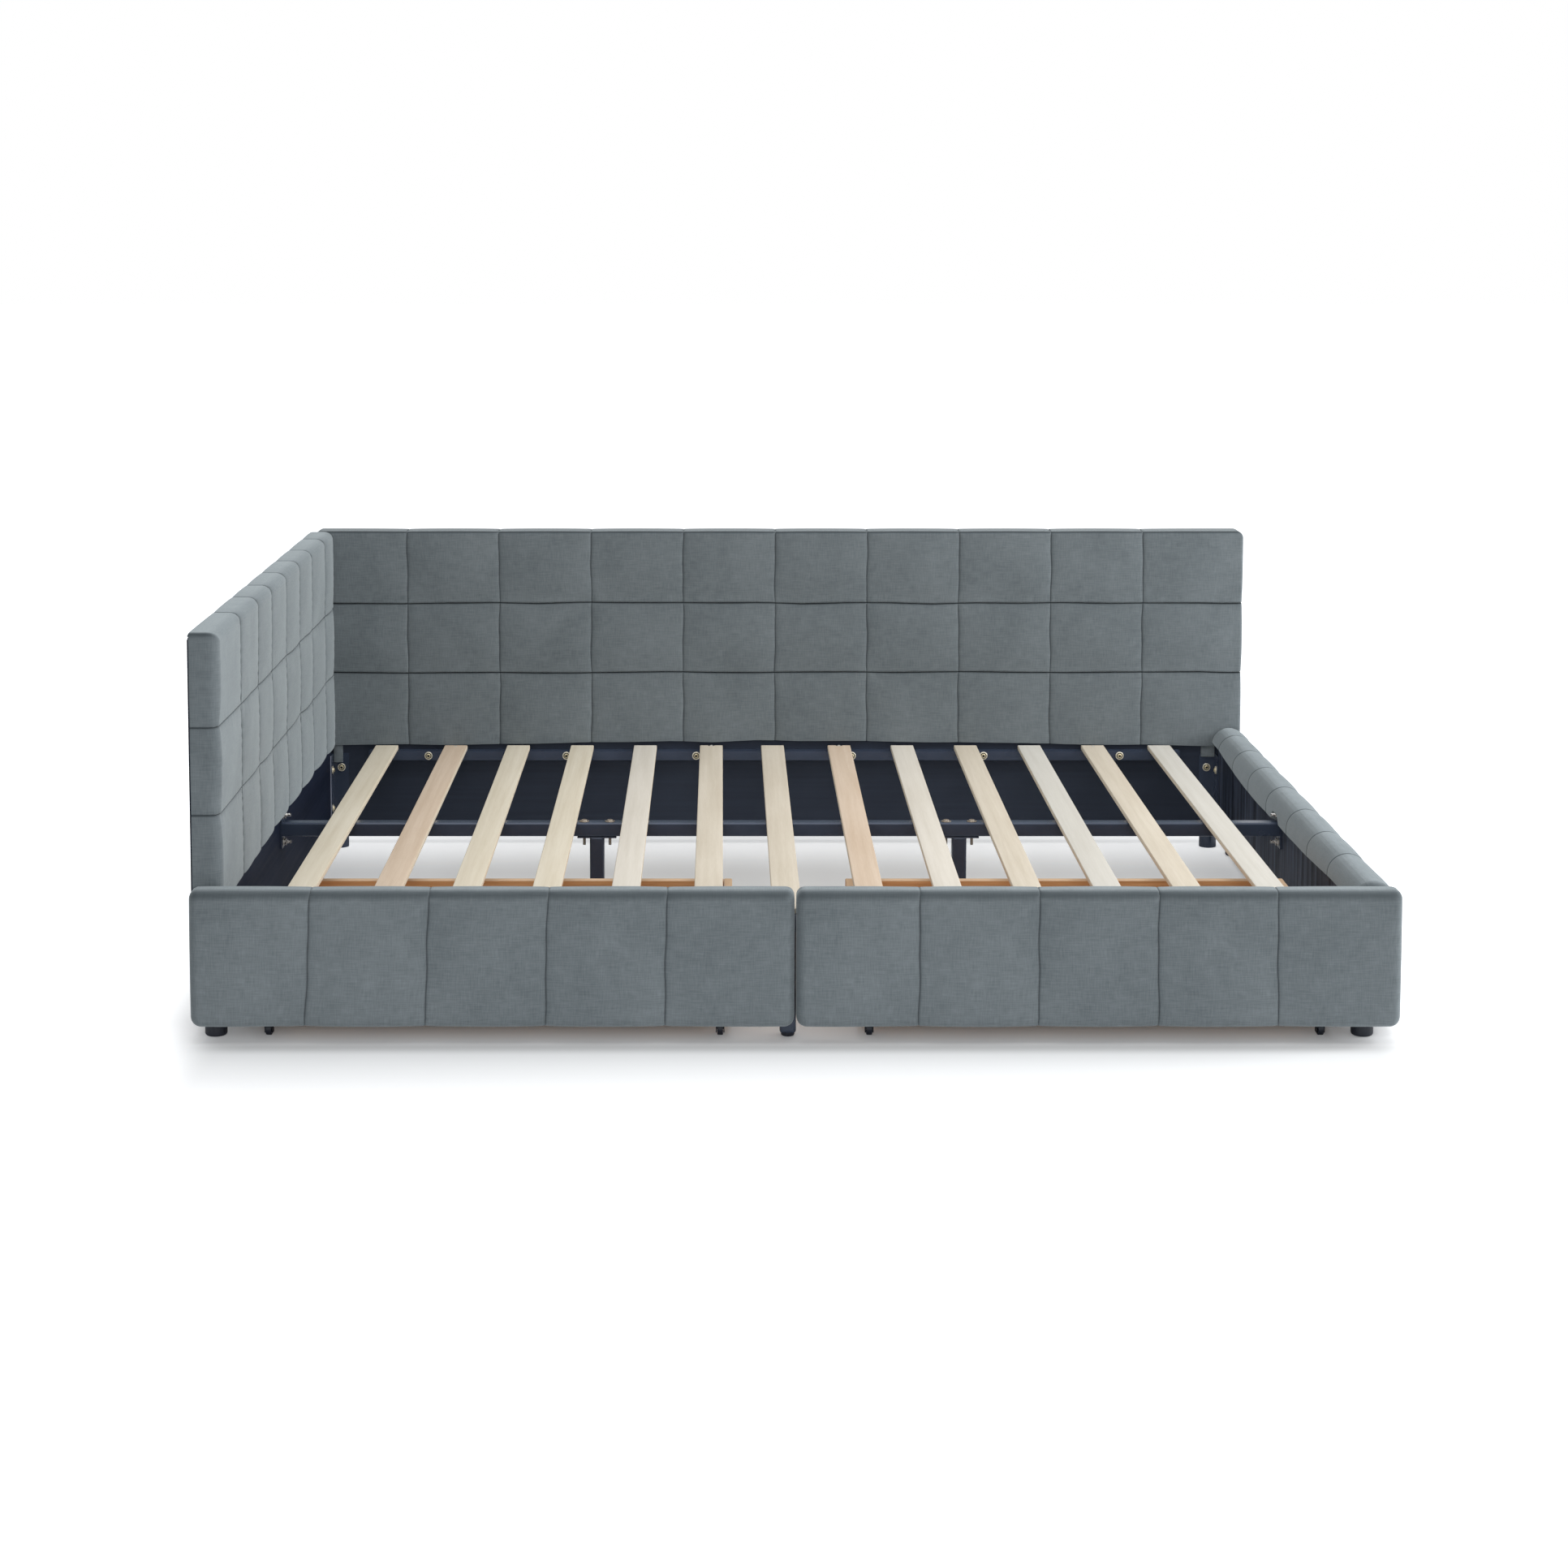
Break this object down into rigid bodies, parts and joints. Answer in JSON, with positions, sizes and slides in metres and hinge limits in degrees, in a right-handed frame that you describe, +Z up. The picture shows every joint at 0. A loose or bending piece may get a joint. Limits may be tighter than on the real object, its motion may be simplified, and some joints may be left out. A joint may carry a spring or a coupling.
{
  "type": "storage sofa bed",
  "caption": "Upholstered day bed with a tall back and one tall side, a slatted deck and two wheeled drawers that pull out at the front.",
  "frame": {"origin": "on the floor, under the middle of the overall box", "axes": "+X from the tall side panel to the low end rail, +Y to the tall back panel, +Z up"},
  "size_m": [2.056, 1.5, 0.698],
  "materials": {
    "velvet": "grey velvet, stitched in squares",
    "dust_cloth": "black nonwoven cloth",
    "navy_board": "navy painted board",
    "charcoal_board": "charcoal wood grain board",
    "navy_steel": "satin navy powder coat",
    "slat_wood": "pale birch plywood",
    "drawer_wood": "warm brown board",
    "black_plastic": "moulded black"
  },
  "bodies": {
    "frame": {"back_panel_pad": "velvet", "side_panel_pad": "velvet", "end_rail_pad": "velvet", "back_panel_board": "navy_board", "side_panel_board": "navy_board", "end_rail_board": "charcoal_board", "back_panel_dust_cover": "dust_cloth", "side_panel_dust_cover": "dust_cloth", "rear_slat_rail": "navy_steel", "centre_rail": "navy_steel", "front_slat_rail": "navy_steel", "centre_rail_leg_left": "navy_steel", "centre_rail_leg_right": "navy_steel", "front_rail_leg": "navy_steel", "rear_corner_leg_left": "navy_steel", "rear_corner_leg_right": "navy_steel", "foot_side_panel": "black_plastic", "foot_end_rail_front": "black_plastic", "foot_end_rail_rear": "black_plastic", "slat_01": "slat_wood", "slat_02": "slat_wood", "slat_03": "slat_wood", "slat_04": "slat_wood", "slat_05": "slat_wood", "slat_06": "slat_wood", "slat_07": "slat_wood", "slat_08": "slat_wood", "slat_09": "slat_wood", "slat_10": "slat_wood", "slat_11": "slat_wood", "slat_12": "slat_wood", "slat_13": "slat_wood"},
    "drawer_left": {"drawer_left_front_pad": "velvet", "drawer_left_front_board": "navy_board", "drawer_left_bottom": "drawer_wood", "drawer_left_side_left": "drawer_wood", "drawer_left_side_right": "drawer_wood", "drawer_left_back": "drawer_wood", "drawer_left_caster_1": "black_plastic", "drawer_left_caster_2": "black_plastic", "drawer_left_caster_3": "black_plastic", "drawer_left_caster_4": "black_plastic"},
    "drawer_left_wheel_1": {"drawer_left_wheel_1": "black_plastic"},
    "drawer_left_wheel_2": {"drawer_left_wheel_2": "black_plastic"},
    "drawer_left_wheel_3": {"drawer_left_wheel_3": "black_plastic"},
    "drawer_left_wheel_4": {"drawer_left_wheel_4": "black_plastic"},
    "drawer_right": {"drawer_right_front_pad": "velvet", "drawer_right_front_board": "navy_board", "drawer_right_bottom": "drawer_wood", "drawer_right_side_left": "drawer_wood", "drawer_right_side_right": "drawer_wood", "drawer_right_back": "drawer_wood", "drawer_right_caster_1": "black_plastic", "drawer_right_caster_2": "black_plastic", "drawer_right_caster_3": "black_plastic", "drawer_right_caster_4": "black_plastic"},
    "drawer_right_wheel_1": {"drawer_right_wheel_1": "black_plastic"},
    "drawer_right_wheel_2": {"drawer_right_wheel_2": "black_plastic"},
    "drawer_right_wheel_3": {"drawer_right_wheel_3": "black_plastic"},
    "drawer_right_wheel_4": {"drawer_right_wheel_4": "black_plastic"}
  },
  "joints": [
    {"name": "drawer_left_slide", "type": "slide", "parent": "frame", "child": "drawer_left", "axis": [0, -1, 0], "range_m": [0, 0.42]},
    {"name": "drawer_left_wheel_1_spin", "type": "hinge", "parent": "drawer_left", "child": "drawer_left_wheel_1", "pos_m": [-0.8995, -0.688, 0.0125], "axis": [1, 0, 0], "continuous": true},
    {"name": "drawer_left_wheel_2_spin", "type": "hinge", "parent": "drawer_left", "child": "drawer_left_wheel_2", "pos_m": [-0.1275, -0.688, 0.0125], "axis": [1, 0, 0], "continuous": true},
    {"name": "drawer_left_wheel_3_spin", "type": "hinge", "parent": "drawer_left", "child": "drawer_left_wheel_3", "pos_m": [-0.8995, -0.2797, 0.0125], "axis": [1, 0, 0], "continuous": true},
    {"name": "drawer_left_wheel_4_spin", "type": "hinge", "parent": "drawer_left", "child": "drawer_left_wheel_4", "pos_m": [-0.1275, -0.2797, 0.0125], "axis": [1, 0, 0], "continuous": true},
    {"name": "drawer_right_slide", "type": "slide", "parent": "frame", "child": "drawer_right", "axis": [0, -1, 0], "range_m": [0, 0.42]},
    {"name": "drawer_right_wheel_1_spin", "type": "hinge", "parent": "drawer_right", "child": "drawer_right_wheel_1", "pos_m": [0.1275, -0.688, 0.0125], "axis": [1, 0, 0], "continuous": true},
    {"name": "drawer_right_wheel_2_spin", "type": "hinge", "parent": "drawer_right", "child": "drawer_right_wheel_2", "pos_m": [0.8995, -0.688, 0.0125], "axis": [1, 0, 0], "continuous": true},
    {"name": "drawer_right_wheel_3_spin", "type": "hinge", "parent": "drawer_right", "child": "drawer_right_wheel_3", "pos_m": [0.1275, -0.2797, 0.0125], "axis": [1, 0, 0], "continuous": true},
    {"name": "drawer_right_wheel_4_spin", "type": "hinge", "parent": "drawer_right", "child": "drawer_right_wheel_4", "pos_m": [0.8995, -0.2797, 0.0125], "axis": [1, 0, 0], "continuous": true}
  ],
  "couplings": [
    {"joint": "drawer_left_wheel_1_spin", "follows": "drawer_left_slide", "rad_per_m": 80},
    {"joint": "drawer_left_wheel_2_spin", "follows": "drawer_left_slide", "rad_per_m": 80},
    {"joint": "drawer_left_wheel_3_spin", "follows": "drawer_left_slide", "rad_per_m": 80},
    {"joint": "drawer_left_wheel_4_spin", "follows": "drawer_left_slide", "rad_per_m": 80},
    {"joint": "drawer_right_wheel_1_spin", "follows": "drawer_right_slide", "rad_per_m": 80},
    {"joint": "drawer_right_wheel_2_spin", "follows": "drawer_right_slide", "rad_per_m": 80},
    {"joint": "drawer_right_wheel_3_spin", "follows": "drawer_right_slide", "rad_per_m": 80},
    {"joint": "drawer_right_wheel_4_spin", "follows": "drawer_right_slide", "rad_per_m": 80}
  ]
}
